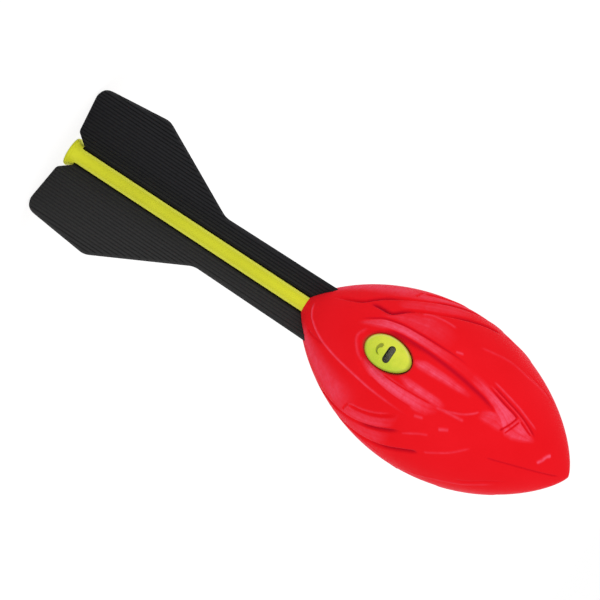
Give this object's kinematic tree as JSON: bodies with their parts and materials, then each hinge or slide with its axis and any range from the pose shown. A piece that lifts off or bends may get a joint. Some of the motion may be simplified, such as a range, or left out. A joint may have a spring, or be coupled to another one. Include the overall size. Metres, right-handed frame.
{
  "type": "vortex throwing toy",
  "caption": "Foam football head on a finned plastic tail tube, with oval whistles let into the head that sound in flight.",
  "frame": {"origin": "on the long axis, level with the fins' rear edges, on which the toy stands nose up", "axes": "+Z runs along the long axis from the tail to the nose; -Y faces whistle 1, midway between fin 1 and fin 3; +X is to the right seen from there, and fin 2 points along +Y"},
  "size_m": [0.092, 0.093, 0.3191],
  "materials": {
    "head_foam": "moulded red foam with a smooth satin skin",
    "tail_plastic": "satin lime moulded plastic",
    "fin_foam": "matt black ribbed foam sheet",
    "whistle_plastic": "satin lime moulded plastic",
    "cup_plastic": "grey moulded plastic"
  },
  "bodies": {
    "root": {"head_foam": "head_foam", "tail_tube": "tail_plastic", "fin_1": "fin_foam", "fin_2": "fin_foam", "fin_3": "fin_foam", "whistle_cap_1": "whistle_plastic", "whistle_cap_2": "whistle_plastic", "whistle_cap_3": "whistle_plastic", "whistle_cup_1": "cup_plastic", "whistle_cup_2": "cup_plastic", "whistle_cup_3": "cup_plastic"}
  },
  "joints": []
}
